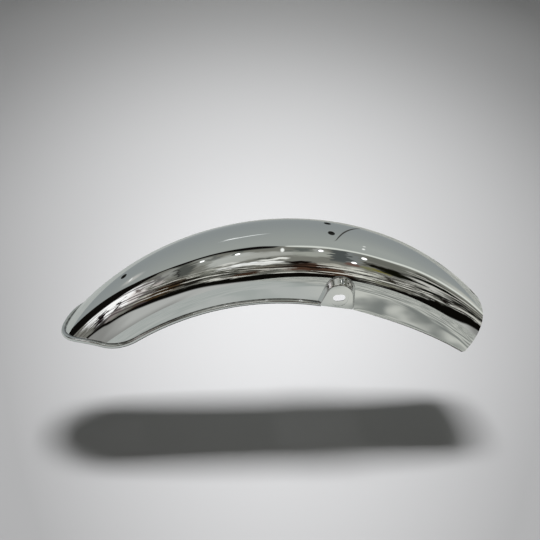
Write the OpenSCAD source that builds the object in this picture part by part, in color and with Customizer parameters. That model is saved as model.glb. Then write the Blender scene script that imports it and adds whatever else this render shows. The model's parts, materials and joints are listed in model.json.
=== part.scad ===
// Rear mudguard of a light motorcycle: one pressed and chromed steel blade.
// The blade is a revolved sheet section, trimmed in side view by three arcs,
// with a rolled bead round the tail, a pressed fixing pad on each side and
// four bolt holes along the crown. Millimetres, +X to the front, +Z up.

/* [Blade] */
// outer radius of the crown line, about the wheel's axle
crown_r = 330; // [322:1:338]
// overall width over the two side walls
width = 120; // [112:2:128]
// radius of the shoulder between crown and side wall
shoulder_r = 44; // [40:1:47]
// thickness of the sheet
sheet = 1.2; // [0.9:0.1:1.5]

/* [Side view] */
// radius of the lower edge behind the pads
rear_edge_r = 286; // [283:1:289]
// depth of that arc's centre below the axle
rear_edge_drop = 23; // [21:1:25]
// distance of that arc's centre behind the axle
rear_edge_back = 24.5; // [22:0.5:27]
// radius of the lower edge ahead of the pads
front_edge_r = 590; // [540:2:700]
// height of the front lower edge over the rear one at the pads
edge_step = 3.3; // [2.5:0.1:4]
// angle of the crown's front end from the vertical
nose_angle = 48; // [46:0.2:51]
// lean of the front cut from the radial line
nose_lean = 9; // [5:1:14]
// length of the front cut from crown to lower corner
nose_depth = 51; // [48:1:54]
// radius of the front cut's lower corner
nose_corner_r = 3; // [1:0.5:5]
// radius of the arch that cuts the tail
tail_arch_r = 67; // [65:1:69]
// height of that arch's circle over the crown line
tail_arch_over = 2; // [1:0.5:3]
// angle of that arch's centre behind the vertical
tail_angle = 55.3; // [54.5:0.1:56]
// radius of the lower corner at the tail
tail_corner_r = 62; // [48:1:70]

/* [Bead] */
// radius of the rolled bead
bead_r = 2.5; // [2.2:0.1:3]
// height of the bead's centre above the sheet's outer face
bead_out = 0.7; // [0.5:0.1:0.9]

/* [Pads] */
// distance of the slot ahead of the axle
pad_x = 59.5; // [52:0.5:66]
// height of the slot above the lower edge
slot_up = 14.5; // [13:0.5:16]
// height of the pad's face above the side wall
pad_rise = 7; // [5:0.5:9]
// radius of the face's round top
pad_face_r = 15.3; // [14.5:0.1:16.5]
// radius of the pad's round top at the side wall
pad_foot_r = 18.2; // [17.6:0.1:19.5]
// width of the slot
slot_w = 8; // [6:0.1:9]
// length of the slot
slot_l = 14; // [11:0.5:17]
// radius of the flat seat round the slot
seat_r = 10.5; // [9.5:0.5:12]
// depth of that seat
seat_depth = 0.4; // [0.2:0.1:0.6]

/* [Bolt holes] */
// radius of the holes along the crown
hole_r = 4.2; // [3:0.1:5]
// angle of the tail hole behind the vertical
tail_hole_angle = 33.2; // [26:0.2:40]
// angle of the pair ahead of the vertical
pair_angle = 10.2; // [4:0.2:16]
// distance between the two holes of the pair
pair_pitch = 27; // [18:1:40]
// angle of the nose hole ahead of the vertical
nose_hole_angle = 46; // [38:0.2:46]

/* [Hidden] */
$fn = 48;
half = width / 2;

// section: x is the distance from the axle, y is across the blade
// the crown arc runs into the shoulder arc at a slope with the sides 16, 63 and 65
join_step = (half - shoulder_r) / 16;
join_angle = asin(16 / 65);
crown_cross_r = shoulder_r + 65 * join_step;
crown_c = [crown_r - crown_cross_r, 0];
shoulder_c = crown_c + [63 * join_step, 16 * join_step];
wall_from = rear_edge_r - norm([rear_edge_back, rear_edge_drop]) - 12;

// side view: arc centres and corners, as [x, height over the axle]
rear_c = [-rear_edge_back, -rear_edge_drop];
pad_edge = [pad_x, rear_c[1] + sqrt(pow(rear_edge_r, 2) - pow(pad_x - rear_c[0], 2))
    + edge_step];
nose_top = crown_r * dir(90 - nose_angle);
nose_low = nose_top + nose_depth * dir(270 - nose_angle + nose_lean);
front_c = arc_centre(pad_edge, nose_low, front_edge_r);
nose_up = unit(nose_top - nose_low);
edge_back = [front_c[1] - nose_low[1], nose_low[0] - front_c[0]] / front_edge_r;
nose_corner = nose_low + nose_corner_r / sin(angle_of(edge_back) - angle_of(nose_up))
    * (nose_up + edge_back);
tail_c = (crown_r - tail_arch_r + tail_arch_over) * dir(90 + tail_angle);

// bead line: the same arcs at the bead's centre, joined by the tail corner
rear_line_r = rear_edge_r + bead_r;
tail_line_r = tail_arch_r + bead_r;
corner_line_r = tail_corner_r - bead_r;
corner_c = meet(rear_c, rear_line_r + corner_line_r, tail_c, tail_line_r + corner_line_r);
corner_from = angle_of(rear_c - corner_c);
corner_to = angle_of(tail_c - corner_c);
rear_from = acos((pad_x - pad_foot_r + 0.7 - rear_c[0]) / rear_line_r);
rear_to = angle_of(corner_c - rear_c);
tip = tail_point(0);

// rest: the tip of the tail and the two lower nose corners stand on the floor
span = nose_corner - [tip[0], tip[1]];
rest = angle_of(span) + asin((bead_r - nose_corner_r) / norm(span));
floor_y = turned(nose_corner)[1] - nose_corner_r;
mid_x = (turned(tip)[0] - bead_r + turned(nose_top)[0]) / 2;

function dir(a) = [cos(a), sin(a)];
function unit(v) = v / norm(v);
function angle_of(v) = atan2(v[1], v[0]);
function turned(p) =
    [p[0] * cos(rest) + p[1] * sin(rest), p[1] * cos(rest) - p[0] * sin(rest)];
// centre of an arc of radius r that bulges upwards from p to q
function arc_centre(p, q, r) =
    let (v = q - p, d = norm(v))
    (p + q) / 2 + sqrt(r * r - d * d / 4) * [v[1], -v[0]] / d;
// where two circles cross, on the right of the line from p to q
function meet(p, r, q, s) =
    let (v = q - p, d = norm(v), a = (d * d + r * r - s * s) / (2 * d))
    p + a * unit(v) + sqrt(r * r - a * a) * [v[1], -v[0]] / d;

// surface over the blade at the bead's height: angle across the section
// from the distance d to the axle, and back
function slant(d) = d <= shoulder_c[0] ? 90
    : acos(min(1, (d - shoulder_c[0]) / (shoulder_r + bead_out)));
function raised(s) = s <= join_angle
    ? crown_c + (crown_cross_r + bead_out) * dir(s)
    : shoulder_c + (shoulder_r + bead_out) * dir(s);

// the bead's line round the tail, as [x, height, across, section angle]
function tail_point(s) =
    let (p = raised(s), q = meet([0, 0], p[0], tail_c, tail_line_r))
    [q[0], q[1], p[1], s];
function corner_point(a) =
    let (q = corner_c + corner_line_r * dir(a), s = slant(norm(q)))
    [q[0], q[1], raised(s)[1], s];
tail_slant = slant(norm(corner_c + corner_line_r * dir(corner_to)));
half_line = concat(
    [for (i = [0:4]) corner_point(corner_from + (corner_to - corner_from) * i / 4)],
    [for (i = [1:14]) tail_point(tail_slant * (1 - i / 14))]);
last = len(half_line) - 1;
whole_line = concat(half_line,
    [for (i = [last - 1:-1:0]) let (p = half_line[i]) [p[0], p[1], -p[2], -p[3]]]);

// section of the sheet: crown arc, shoulder arcs and upright side walls
module ring(c, r) {
    difference() {
        translate(c) circle(r = r);
        translate(c) circle(r = r - sheet);
    }
}

module crown_fan() {
    v = 5 * (shoulder_c - crown_c);
    polygon([crown_c, crown_c + v, crown_c + [v[0], -v[1]]]);
}

module section() {
    intersection() {
        ring(crown_c, crown_cross_r);
        crown_fan();
    }
    for (side = [0, 1])
        mirror([0, side]) {
            difference() {
                intersection() {
                    ring(shoulder_c, shoulder_r);
                    translate(shoulder_c) square(200);
                }
                crown_fan();
            }
            translate([shoulder_c[0], half - sheet])
                mirror([1, 0]) square([shoulder_c[0] - wall_from, sheet]);
        }
}

// side-view region under the lower edges, grown by g over the visible edge
module under_edges(g) {
    intersection() {
        translate(rear_c) circle(r = rear_edge_r + g, $fn = 120);
        translate([pad_x - 600, -400]) square([600, 800]);
    }
    intersection() {
        translate(front_c) circle(r = front_edge_r + (g > 1.5 ? g : 0), $fn = 120);
        translate([pad_x, -400]) square([400, 800]);
    }
}

// all that the trimming die takes away, in side view
module offcut() {
    grow = bead_r / 2;
    under_edges(grow);
    translate(tail_c) circle(r = tail_arch_r + grow, $fn = 72);
    polygon(concat(
        [for (i = [0:12])
            corner_c + (tail_corner_r - grow + (i == 0 || i == 12 ? 0.05 : 0))
                * dir(corner_from + (corner_to - corner_from) * i / 12)],
        [corner_c + (tail_corner_r + 25) * dir((corner_from + corner_to) / 2)]));
    polygon([nose_low + 2 * (nose_low - nose_top), nose_top + 2 * (nose_top - nose_low),
        nose_top + [200, -100], nose_low + [200, -200]]);
    difference() {
        polygon([nose_low - nose_up - edge_back, nose_low + nose_corner_r * nose_up - edge_back,
            nose_corner, nose_low + nose_corner_r * edge_back - nose_up]);
        translate(nose_corner) circle(r = nose_corner_r);
    }
}

module sheet_blade() {
    difference() {
        rotate([0, 0, 34]) rotate_extrude(angle = 114, $fn = 90) section();
        linear_extrude(height = 300, center = true) offcut();
    }
}

// the bead: an arc along each lower edge and one swept tube round the tail
module side_bead() {
    translate([rear_c[0], rear_c[1], half + bead_out])
        rotate([0, 0, rear_from])
            rotate_extrude(angle = rear_to - rear_from, $fn = 90)
                translate([rear_line_r, 0]) circle(r = bead_r, $fn = 16);
}

function along(i) = i == 0
    ? let (d = dir(corner_from + 90)) [-d[0], -d[1], 0]
    : i == len(whole_line) - 1
    ? let (d = dir(corner_from + 90)) [d[0], d[1], 0]
    : let (p = whole_line[i - 1], q = whole_line[i + 1])
        unit([q[0] - p[0], q[1] - p[1], q[2] - p[2]]);
function lifted(i) =
    let (p = whole_line[i], r = norm([p[0], p[1]]))
    [p[0] / r * cos(p[3]), p[1] / r * cos(p[3]), sin(p[3])];

module tail_bead(n = 10) {
    r = bead_r * 0.995;
    m = len(whole_line);
    rings = [for (i = [0:m - 1])
        let (p = whole_line[i], t = along(i), b = unit(cross(t, cross(lifted(i), t))),
            c = cross(t, b), o = [p[0], p[1], p[2]] + (i == 0 ? -1 : i == m - 1 ? 1 : 0) * t)
        for (k = [0:n - 1])
            o + r * (cos(360 * k / n) * b + sin(360 * k / n) * c)];
    polyhedron(rings, concat(
        [[for (k = [0:n - 1]) k]],
        [[for (k = [n - 1:-1:0]) (m - 1) * n + k]],
        [for (i = [0:m - 2], k = [0:n - 1])
            let (l = (k + 1) % n) [(i + 1) * n + l, i * n + l, i * n + k]],
        [for (i = [0:m - 2], k = [0:n - 1])
            let (l = (k + 1) % n) [(i + 1) * n + k, (i + 1) * n + l, i * n + k]]));
}

// pad outline: a round top about c, an upright front leg and a slanting rear one
function pad_outline(c, r, lean, n = 20) =
    let (low = pad_edge[1] - 9, t = c + r * dir(90 + lean))
    concat(
        [t - dir(lean) * (t[1] - low) / sin(lean)],
        [for (i = [0:n]) c + r * dir((90 + lean) * (1 - i / n))],
        [[c[0] + r, low]]);
slot_c = pad_edge + [0, slot_up];

// block with the pad's foot outline from z0 to the side wall, then tapered to
// the outline of its face at z1
module pad_block(inset, z0, z1) {
    a = pad_outline(slot_c + [1, 5], pad_foot_r - inset, 68);
    b = pad_outline(slot_c, pad_face_r - inset, 61);
    n = len(a);
    polyhedron(
        concat([for (p = a) [p[0], p[1], z0]],
            [for (p = a) [p[0], p[1], half - sheet / 2]],
            [for (p = b) [p[0], p[1], z1]]),
        concat(
            [[for (k = [n - 1:-1:0]) k]],
            [[for (k = [0:n - 1]) 2 * n + k]],
            [for (i = [0, n], k = [0:n - 1])
                let (l = (k + 1) % n) [i + n + l, i + n + k, i + k]],
            [for (i = [0, n], k = [0:n - 1])
                let (l = (k + 1) % n) [i + n + l, i + k, i + l]]));
}

module pad_skin() {
    difference() {
        pad_block(0, half - 2, half + pad_rise);
        linear_extrude(height = 300) under_edges(2);
        translate([slot_c[0], slot_c[1], half + pad_rise - seat_depth])
            cylinder(r = seat_r, h = 5);
    }
}

module pad_hollow() {
    pad_block(sheet, half - sheet - 2.5, half + pad_rise - sheet);
    translate([slot_c[0], slot_c[1], half]) {
        cube([slot_l - slot_w, slot_w, 60], center = true);
        for (side = [0, 1])
            mirror([side, 0, 0])
                translate([(slot_l - slot_w) / 2, 0, 0])
                    rotate([0, 0, -90])
                        rotate_extrude(angle = 180) square([slot_w / 2, 30]);
    }
}

// a drill along the blade's radius at the angle a from the vertical
module drill(a, across = 0) {
    rotate([0, 0, 90 - a])
        translate([crown_r - 15, 0, across])
            rotate([0, 90, 0]) cylinder(r = hole_r, h = 30);
}

module mudguard_blade() {
    color([0.78, 0.79, 0.8])
        translate([-mid_x, 0, -floor_y])
            rotate([90, 0, 0])
                rotate([0, 0, -rest])
                    difference() {
                        union() {
                            sheet_blade();
                            tail_bead();
                            for (side = [0, 1])
                                mirror([0, 0, side]) {
                                    side_bead();
                                    pad_skin();
                                }
                        }
                        for (side = [0, 1]) mirror([0, 0, side]) pad_hollow();
                        drill(-tail_hole_angle);
                        drill(nose_hole_angle);
                        for (side = [-1, 1]) drill(pair_angle, side * pair_pitch / 2);
                    }
}

mudguard_blade();
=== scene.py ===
"""A motorcycle's chromed rear mudguard, dressed for the photograph's view.

The blade is swept from its section, its side walls are drawn down to the
trimmed edge, its tail edge is rolled into a bead, and a hollow slotted pad
stands on each side wall. All sizes are in metres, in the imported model's frame.
"""

import json
import logging
import math
from contextlib import contextmanager
from dataclasses import dataclass, field
from enum import Enum
from typing import Callable, Iterator

import bmesh
import bpy
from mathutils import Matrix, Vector

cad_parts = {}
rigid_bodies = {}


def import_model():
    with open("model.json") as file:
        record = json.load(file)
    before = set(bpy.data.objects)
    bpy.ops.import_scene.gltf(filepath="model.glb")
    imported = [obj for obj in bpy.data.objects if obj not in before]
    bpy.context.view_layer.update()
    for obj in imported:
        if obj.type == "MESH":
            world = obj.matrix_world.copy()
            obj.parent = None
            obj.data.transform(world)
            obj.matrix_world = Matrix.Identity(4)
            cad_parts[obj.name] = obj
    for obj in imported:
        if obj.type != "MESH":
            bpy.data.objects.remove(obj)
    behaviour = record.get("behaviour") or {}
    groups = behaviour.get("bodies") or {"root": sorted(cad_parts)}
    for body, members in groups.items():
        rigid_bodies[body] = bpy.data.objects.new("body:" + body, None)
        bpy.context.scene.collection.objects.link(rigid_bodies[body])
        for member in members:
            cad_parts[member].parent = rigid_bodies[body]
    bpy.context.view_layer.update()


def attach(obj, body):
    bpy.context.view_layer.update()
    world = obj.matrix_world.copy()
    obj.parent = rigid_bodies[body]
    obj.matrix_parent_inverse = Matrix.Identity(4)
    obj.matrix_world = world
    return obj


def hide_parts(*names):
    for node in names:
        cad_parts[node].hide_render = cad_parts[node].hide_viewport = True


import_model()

NODE = "mudguard_blade"
log = logging.getLogger("mudguard")

Point = tuple[float, float]
Colour = tuple[float, float, float, float]
Socket = bpy.types.NodeSocket
Shade = Socket | Colour


class Side(Enum):
    """The two sides of the blade; the value is the sign of Y."""

    NEAR = -1
    FAR = 1


def direction(angle: float) -> Vector:
    """Unit vector in side view at an angle in degrees from +X."""
    return Vector((math.cos(math.radians(angle)), math.sin(math.radians(angle))))


def angle_of(v: Vector) -> float:
    """Angle of a side-view vector in degrees."""
    return math.degrees(math.atan2(v.y, v.x))


def far_root(centre: Vector, radius: float, angle: float) -> float:
    """Distance from the axle, along a ray, to where it leaves a circle."""
    along = centre.dot(direction(angle))
    return along + math.sqrt(max(along * along - centre.length_squared + radius ** 2, 0.0))


def near_root(centre: Vector, radius: float, angle: float) -> float:
    """Distance from the axle, along a ray, to where it enters a circle."""
    along = centre.dot(direction(angle))
    return along - math.sqrt(max(along * along - centre.length_squared + radius ** 2, 0.0))


def crossing(p: Vector, r: float, q: Vector, s: float) -> Vector:
    """Where two circles cross, on the right of the line from p to q.

    Args:
        p: centre of the first circle.
        r: its radius.
        q: centre of the second circle.
        s: its radius.

    Returns:
        The crossing point in side view.
    """
    gap = q - p
    d = gap.length
    a = (d * d + r * r - s * s) / (2 * d)
    n = gap / d
    return p + a * n + math.sqrt(max(r * r - a * a, 0.0)) * Vector((n.y, -n.x))


@dataclass(frozen=True)
class Plan:
    """The blade's sizes in side view and in section, about the wheel's axle."""

    crown_radius: float = 0.330
    half_width: float = 0.060
    shoulder_radius: float = 0.044
    sheet: float = 0.0012
    rear_centre: Point = (-0.0245, -0.023)
    rear_radius: float = 0.286
    front_radius: float = 0.590
    edge_step: float = 0.0033
    nose_angle: float = 48.0
    nose_lean: float = 9.0
    nose_depth: float = 0.051
    tail_radius: float = 0.067
    tail_over: float = 0.002
    tail_angle: float = 55.3
    corner_radius: float = 0.062
    bead_radius: float = 0.0025
    bead_out: float = 0.0007
    pad_x: float = 0.0595
    slot_up: float = 0.0145
    nose_corner: Point = (0.212527, 0.185186)
    nose_corner_radius: float = 0.003
    rest: float = -2.90688
    middle_x: float = -0.0178509
    floor_y: float = 0.192725

    @property
    def join_angle(self) -> float:
        """Section angle where the crown arc runs into the shoulder arc."""
        return math.degrees(math.asin(16 / 65))

    @property
    def step(self) -> float:
        """The length that scales the join's 16, 63 and 65 sides."""
        return (self.half_width - self.shoulder_radius) / 16

    @property
    def cross_radius(self) -> float:
        """Radius of the crown across the blade."""
        return self.shoulder_radius + 65 * self.step

    @property
    def crown_centre(self) -> float:
        """Distance of the crown arc's centre from the axle."""
        return self.crown_radius - self.cross_radius

    @property
    def wall_top(self) -> float:
        """Distance from the axle at which the side walls begin."""
        return self.crown_centre + 63 * self.step

    @property
    def tail_centre(self) -> Vector:
        """Centre of the arch that cuts the tail."""
        reach = self.crown_radius - self.tail_radius + self.tail_over
        return reach * direction(90 + self.tail_angle)

    @property
    def rear(self) -> Vector:
        """Centre of the rear lower edge."""
        return Vector(self.rear_centre)

    @property
    def corner_centre(self) -> Vector:
        """Centre of the round lower corner at the tail.

        Returns:
            The centre in side view.
        """
        inner = self.corner_radius - self.bead_radius
        return crossing(self.rear, self.rear_radius + self.bead_radius + inner,
                        self.tail_centre, self.tail_radius + self.bead_radius + inner)

    @property
    def pad_edge(self) -> Vector:
        """Where the front lower edge starts, under the slot.

        Returns:
            The point in side view.
        """
        run = self.pad_x - self.rear.x
        up = self.rear.y + math.sqrt(self.rear_radius ** 2 - run ** 2)
        return Vector((self.pad_x, up + self.edge_step))

    @property
    def slot(self) -> Vector:
        """Centre of the pad's slot."""
        return self.pad_edge + Vector((0, self.slot_up))

    @property
    def nose_top(self) -> Vector:
        """Front end of the crown line."""
        return self.crown_radius * direction(90 - self.nose_angle)

    @property
    def nose_low(self) -> Vector:
        """Lower corner of the front cut."""
        return self.nose_top + self.nose_depth * direction(
            270 - self.nose_angle + self.nose_lean)

    @property
    def front(self) -> Vector:
        """Centre of the front lower edge.

        Returns:
            The centre in side view.
        """
        v = self.nose_low - self.pad_edge
        d = v.length
        return (self.pad_edge + self.nose_low) / 2 + math.sqrt(
            self.front_radius ** 2 - d * d / 4) * Vector((v.y, -v.x)) / d

    def placed(self, p: Vector, across: float) -> Vector:
        """A side-view point and a distance across, in the model's frame.

        Args:
            p: the point in side view.
            across: the distance across, with its sign.

        Returns:
            The point in the model's frame.
        """
        c, s = math.cos(math.radians(self.rest)), math.sin(math.radians(self.rest))
        return Vector((p.x * c + p.y * s - self.middle_x, across,
                       p.y * c - p.x * s - self.floor_y))

    def unplaced(self, p: Vector) -> Vector:
        """The side-view point of a point in the model's frame.

        Args:
            p: a point in the model's frame.

        Returns:
            The point in side view, about the axle.
        """
        c, s = math.cos(math.radians(self.rest)), math.sin(math.radians(self.rest))
        x, y = p.x + self.middle_x, p.z + self.floor_y
        return Vector((x * c - y * s, y * c + x * s))

    def section(self, slope: float) -> Point:
        """Distance from the axle and distance across at a section angle.

        Args:
            slope: section angle in degrees, 0 on the crown and 90 on the walls.

        Returns:
            Distance from the axle and distance across.
        """
        a = math.radians(slope)
        if abs(slope) <= self.join_angle:
            return (self.crown_centre + self.cross_radius * math.cos(a),
                    self.cross_radius * math.sin(a))
        side = math.copysign(16 * self.step, slope)
        return (self.wall_top + self.shoulder_radius * math.cos(a),
                side + self.shoulder_radius * math.sin(a))

    def slope_of(self, radius: float, across: float) -> float:
        """Section angle of a point near the sheet's outer face.

        Args:
            radius: distance from the axle.
            across: distance across, with its sign.

        Returns:
            The section angle in degrees.
        """
        if radius <= self.wall_top:
            return math.copysign(90.0, across)
        crown = math.degrees(math.atan2(across, radius - self.crown_centre))
        if abs(crown) <= self.join_angle:
            return crown
        side = math.copysign(16 * self.step, across)
        return math.degrees(math.atan2(across - side, radius - self.wall_top))

    def on_sheet(self, p: Vector, height: float) -> Vector:
        """The point at a height over the sheet's outer face, nearest to p.

        Args:
            p: a point in the model's frame, near the sheet.
            height: distance outwards from the outer face.

        Returns:
            The point in the model's frame.
        """
        q = self.unplaced(p)
        radius, ray = q.length, q.normalized()
        slope = self.slope_of(radius, p.y)
        a = math.radians(slope)
        if radius > self.wall_top:
            r, y = self.section(slope)
        else:
            r, y = radius, math.copysign(self.half_width, p.y)
        return self.placed((r + height * math.cos(a)) * ray, y + height * math.sin(a))

    def normal_at(self, p: Vector) -> Vector:
        """Outward normal of the sheet nearest to p, in the model's frame."""
        return (self.on_sheet(p, 0.001) - self.on_sheet(p, 0.0)).normalized()

    def nose_bearing(self, radius: float) -> float:
        """Angle at which the front cut crosses a circle about the axle.

        Args:
            radius: radius of the circle.

        Returns:
            The angle in degrees.
        """
        along = (self.nose_low - self.nose_top).normalized()
        b = self.nose_top.dot(along)
        t = -b - math.sqrt(b * b - self.nose_top.length_squared + radius ** 2)
        return angle_of(self.nose_top + t * along)

    def tail_bearing(self, radius: float) -> float:
        """Angle at which the bead's line round the tail crosses a circle.

        Args:
            radius: radius of the circle.

        Returns:
            The angle in degrees.
        """
        corner = self.corner_centre
        inner = self.corner_radius - self.bead_radius
        turn = corner + inner * (self.tail_centre - corner).normalized()
        if radius < turn.length:
            share = (radius ** 2 + corner.length_squared - inner ** 2) / (
                2 * radius * corner.length)
            return angle_of(corner) + math.degrees(math.acos(min(share, 1.0)))
        return angle_of(crossing(Vector((0, 0)), radius, self.tail_centre,
                                 self.tail_radius + self.bead_radius))

    def edge_at(self, bearing: float) -> float:
        """Distance from the axle of the side wall's lower edge.

        Behind the pads this is the bead's centre line, and ahead of them the
        free edge.

        Args:
            bearing: angle about the axle in side view, in degrees.

        Returns:
            The distance.
        """
        if bearing < angle_of(self.pad_edge):
            return far_root(self.front, self.front_radius, bearing)
        corner = self.corner_centre
        inner = self.corner_radius - self.bead_radius
        start = angle_of(corner + inner * (self.rear - corner).normalized())
        end = angle_of(corner + inner * (self.tail_centre - corner).normalized())
        if bearing <= start:
            return far_root(self.rear, self.rear_radius + self.bead_radius, bearing)
        if bearing <= end:
            return near_root(corner, inner, bearing)
        return far_root(self.tail_centre, self.tail_radius + self.bead_radius, bearing)


def deselect() -> None:
    """Deselects every object."""
    for o in bpy.context.view_layer.objects:
        o.select_set(False)


def pick(obj: bpy.types.Object) -> None:
    """Makes one object the only selected and active one.

    Args:
        obj: the object to act on.
    """
    deselect()
    obj.select_set(True)
    bpy.context.view_layer.objects.active = obj


@contextmanager
def editing(obj: bpy.types.Object) -> Iterator[None]:
    """Edit mode on one object, with vertex, edge and face selection by code.

    Args:
        obj: the object to edit.

    Returns:
        Nothing; the mode lasts for the block.
    """
    pick(obj)
    bpy.ops.object.mode_set(mode="EDIT")
    bpy.ops.mesh.select_mode(type="VERT")
    yield
    bpy.ops.object.mode_set(mode="OBJECT")


def select_where(obj: bpy.types.Object, test: Callable[[bmesh.types.BMVert], bool]) -> int:
    """Selects the vertices that pass a test, in edit mode.

    Args:
        obj: the object that is being edited.
        test: tells if a vertex is taken.

    Returns:
        How many vertices were taken.
    """
    bm = bmesh.from_edit_mesh(obj.data)
    bpy.ops.mesh.select_all(action="DESELECT")
    taken = 0
    for v in bm.verts:
        if test(v):
            v.select = True
            taken += 1
    bm.select_flush(True)
    bmesh.update_edit_mesh(obj.data)
    return taken


def name_last(name: str) -> bpy.types.Object:
    """Names the active object and its mesh, and gives it back.

    Args:
        name: the new name.

    Returns:
        The active object.
    """
    obj = bpy.context.active_object
    obj.name = name
    obj.data.name = name
    return obj


def settle(obj: bpy.types.Object) -> None:
    """Puts an object's place into its mesh, so that it sits at the origin."""
    pick(obj)
    bpy.ops.object.transform_apply(location=True, rotation=True, scale=True)


def apply_modifier(obj: bpy.types.Object, kind: str, **settings: object) -> None:
    """Adds a modifier with its settings and applies it.

    Args:
        obj: the object to change.
        kind: the modifier's type.
        settings: its settings by name.
    """
    pick(obj)
    mod = obj.modifiers.new(kind.title(), kind)
    for key, value in settings.items():
        setattr(mod, key, value)
    bpy.ops.object.modifier_apply(modifier=mod.name)


def cut_with(obj: bpy.types.Object, cutter: bpy.types.Object) -> None:
    """Cuts one closed mesh out of another and removes the cutter."""
    apply_modifier(obj, "BOOLEAN", operation="DIFFERENCE", solver="EXACT", object=cutter)
    bpy.data.objects.remove(cutter)


def recalc_outside(obj: bpy.types.Object) -> None:
    """Merges doubles and turns all faces outwards.

    Args:
        obj: the object to mend.
    """
    with editing(obj):
        bpy.ops.mesh.select_all(action="SELECT")
        bpy.ops.mesh.remove_doubles(threshold=1e-6)
        bpy.ops.mesh.normals_make_consistent(inside=False)


@dataclass
class BladeSheet:
    """The pressed sheet: crown and shoulders swept round the axle, walls below."""

    plan: Plan
    crown_steps: int = 24
    shoulder_steps: int = 40
    sweep_steps: int = 230
    wall_rows: tuple[float, ...] = (0.12, 0.25, 0.4, 0.55, 0.68, 0.79, 0.87, 0.92, 0.955,
                                    0.98, 1.0)
    turned: float = 0.0005
    crowding: float = 0.5
    obj: bpy.types.Object = field(init=False, default=None)

    def build(self) -> bpy.types.Object:
        """Sweeps the section, slides its rows to both ends and draws down the walls.

        Returns:
            The open sheet, still without its wall.
        """
        self._draw_section()
        self._sweep()
        self._draw_walls()
        return self.obj

    def thicken(self) -> None:
        """Gives the sheet its wall, inwards from the outer face."""
        apply_modifier(self.obj, "SOLIDIFY", thickness=self.plan.sheet, offset=-1.0)

    def _draw_section(self) -> None:
        """Draws the open section line over the axle, from wall top to wall top."""
        p = self.plan
        top = p.placed(Vector((0, 0)), 0.0)
        start = Vector((top.x, p.half_width, top.z + p.wall_top))
        bpy.ops.mesh.primitive_plane_add(size=0.01, location=start)
        self.obj = name_last("blade_sheet")
        settle(self.obj)
        with editing(self.obj):
            first = min(range(4), key=lambda i: self.obj.data.vertices[i].co.to_tuple())
            select_where(self.obj, lambda v: v.index != first)
            bpy.ops.mesh.delete(type="VERT")
            bpy.ops.mesh.select_all(action="SELECT")
            bm = bmesh.from_edit_mesh(self.obj.data)
            bm.verts.ensure_lookup_table()
            bpy.ops.transform.translate(value=start - bm.verts[0].co)
            across = 16 * p.step
            turns = (
                (across, p.wall_top, 90 - p.join_angle, self.shoulder_steps),
                (0.0, p.crown_centre, 2 * p.join_angle, self.crown_steps),
                (-across, p.wall_top, 90 - p.join_angle, self.shoulder_steps),
            )
            for y, r, angle, steps in turns:
                bpy.ops.mesh.spin(steps=steps, angle=math.radians(angle),
                                  center=(top.x, y, top.z + r), axis=(-1, 0, 0))

    def _sweep(self) -> None:
        """Sweeps the section round the axle, then slides each row to its ends."""
        p = self.plan
        axle = p.placed(Vector((0, 0)), 0.0)
        nose, tail = 40.0, 150.0
        with editing(self.obj):
            bpy.ops.mesh.select_all(action="SELECT")
            bpy.ops.transform.rotate(value=math.radians(nose - 90), orient_axis="Y",
                                     center_override=axle)
            bm = bmesh.from_edit_mesh(self.obj.data)
            got = angle_of(p.unplaced(sum((v.co for v in bm.verts), Vector()) /
                                      len(bm.verts)))
            bpy.ops.mesh.spin(steps=self.sweep_steps, angle=math.radians(tail - nose),
                              center=axle, axis=(0, 1, 0))
        spun = self.obj.data
        bearings = [angle_of(p.unplaced(v.co)) for v in spun.vertices]
        low, high = min(bearings), max(bearings)
        log.info("sheet swept from %.1f to %.1f degrees, section at %.1f", low, high, got)
        station = spun.attributes.new("station", "FLOAT", "POINT")
        for v, b in zip(spun.vertices, bearings):
            t = (b - low) / (high - low)
            station.data[v.index].value = t
            q = p.unplaced(v.co)
            bearing = self._between(p.nose_bearing(q.length), p.tail_bearing(q.length), t)
            v.co = p.placed(q.length * direction(bearing), v.co.y)

    def _between(self, start: float, end: float, t: float) -> float:
        """Angle at a station, with the stations closer together at the tail."""
        return start + (end - start) * (t + self.crowding * (t - t * t))

    def _draw_walls(self) -> None:
        """Draws the side walls down from the shoulders to the trimmed edge."""
        p = self.plan
        low_start, low_end = angle_of(p.nose_low), p.tail_bearing(p.wall_top)
        top_start = p.nose_bearing(p.wall_top)
        with editing(self.obj):
            select_where(self.obj, lambda v: abs(abs(v.co.y) - p.half_width) < 1e-7)
            for share in self.wall_rows:
                bpy.ops.mesh.extrude_region_move()
                bm = bmesh.from_edit_mesh(self.obj.data)
                station = bm.verts.layers.float["station"]
                flare = self.turned * max(share - 0.87, 0.0) ** 2 / 0.0169
                for v in bm.verts:
                    if not v.select:
                        continue
                    t = v[station]
                    top = p.wall_top * direction(self._between(top_start, low_end, t))
                    bearing = self._between(low_start, low_end, t)
                    low = p.edge_at(bearing) * direction(bearing)
                    q = top.lerp(low, share)
                    ahead = min(max((angle_of(p.pad_edge) - 4 - bearing) / 6, 0.0), 1.0)
                    v.co = p.placed(q, math.copysign(p.half_width + flare * ahead, v.co.y))
                bmesh.update_edit_mesh(self.obj.data)
            bpy.ops.mesh.select_all(action="SELECT")
            bpy.ops.mesh.remove_doubles(threshold=2e-6)
            bpy.ops.mesh.normals_make_consistent(inside=False)
        mesh = self.obj.data
        if sum(f.normal.z * f.area for f in mesh.polygons) < 0:
            with editing(self.obj):
                bpy.ops.mesh.select_all(action="SELECT")
                bpy.ops.mesh.flip_normals()


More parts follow.
